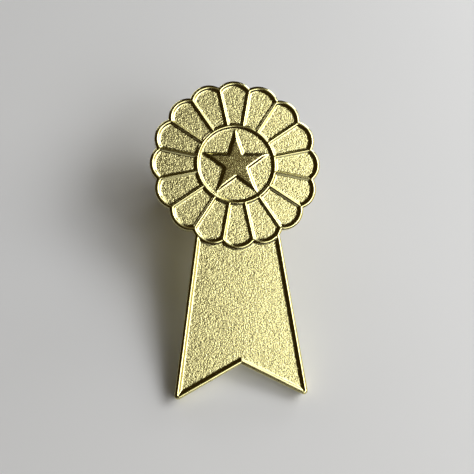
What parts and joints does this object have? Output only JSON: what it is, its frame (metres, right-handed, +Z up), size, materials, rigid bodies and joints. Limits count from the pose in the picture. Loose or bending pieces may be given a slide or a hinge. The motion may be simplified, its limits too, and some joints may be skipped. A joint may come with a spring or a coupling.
{
  "type": "award ribbon lapel pin",
  "caption": "Struck metal award rosette with a raised star and a swallow-tailed ribbon, on a pointed post held by a pinch clutch.",
  "frame": {"origin": "centre of the box of the pin as it lies face up on a table, at the table's surface, Z = 0", "axes": "+Z up; +Y from the ribbon's tips towards the rosette; +X to the right of the badge seen from its front; the badge's face leans 20.47 degrees off level because the clutch is under the rosette"},
  "size_m": [0.0172, 0.03, 0.0123],
  "materials": {
    "struck_gold": "pale gold plate, bright on rims and sandblasted in the fields",
    "solder": "gold plated over solder, slightly rough",
    "plated_post": "gold plated, smooth",
    "clutch_brass": "bright stamped sheet",
    "spring_brass": "bright rolled strip"
  },
  "bodies": {
    "badge": {"struck_badge": "struck_gold", "post_solder": "solder", "post": "plated_post"},
    "clutch": {"clutch_disc": "clutch_brass", "clutch_cap": "clutch_brass"},
    "wing_left": {"clutch_wing_left": "spring_brass"},
    "wing_right": {"clutch_wing_right": "spring_brass"}
  },
  "joints": [
    {"name": "clutch_slide", "type": "slide", "parent": "badge", "child": "clutch", "axis": [0, 0.3496, -0.9369], "range_m": [-0.0018, 0.0065]},
    {"name": "wing_right_squeeze", "type": "hinge", "parent": "clutch", "child": "wing_right", "pos_m": [0.0018, 0.00823, 0.00456], "axis": [0, 0.9369, 0.3496], "range_deg": [0, 10], "stiffness_Nm_per_rad": 0.004, "springref_deg": -17.19},
    {"name": "wing_left_squeeze", "type": "hinge", "parent": "clutch", "child": "wing_left", "pos_m": [-0.0018, 0.00823, 0.00456], "axis": [0, -0.9369, -0.3496], "range_deg": [0, 10], "stiffness_Nm_per_rad": 0.004, "springref_deg": -17.19}
  ],
  "couplings": [
    {"joint": "wing_left_squeeze", "follows": "wing_right_squeeze", "ratio": 1}
  ]
}
